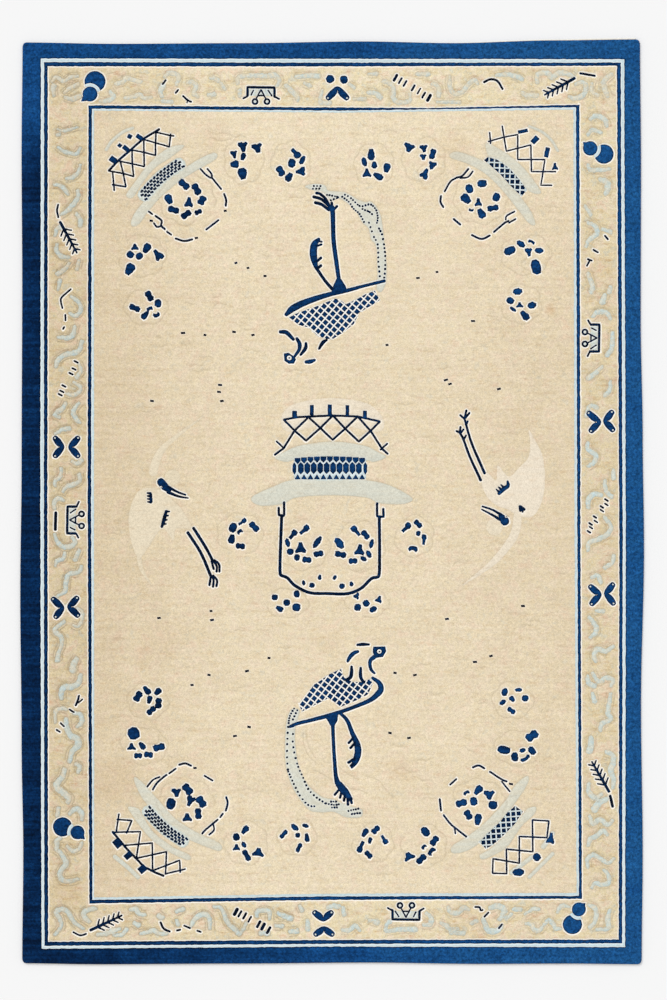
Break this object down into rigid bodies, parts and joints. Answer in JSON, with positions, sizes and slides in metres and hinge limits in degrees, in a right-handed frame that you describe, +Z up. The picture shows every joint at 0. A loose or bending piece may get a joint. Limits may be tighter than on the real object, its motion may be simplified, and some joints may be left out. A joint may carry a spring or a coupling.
{
  "type": "peking rug",
  "caption": "Hand-knotted wool rug lying flat: ivory field and border with indigo and pale blue flower baskets, birds and clouds, plain indigo outer band.",
  "frame": {"origin": "middle of the underside, on the floor", "axes": "+Y along the rug's length, towards the end that is at the top in the picture; +X across its width, to the right in the picture; +Z up out of the pile"},
  "size_m": [1.854, 2.751, 0.0105],
  "materials": {
    "indigo_pile": "clipped wool pile, indigo dyed, with lighter and darker dye lots",
    "ivory_pile": "clipped wool pile, undyed ivory, mellowed to cream",
    "pale_blue_pile": "clipped wool pile, pale blue, faded to grey-green",
    "foundation": "cotton warps and wefts, showing at the ends and on the underside"
  },
  "bodies": {
    "root": {"rug": "ivory_pile"}
  },
  "joints": []
}
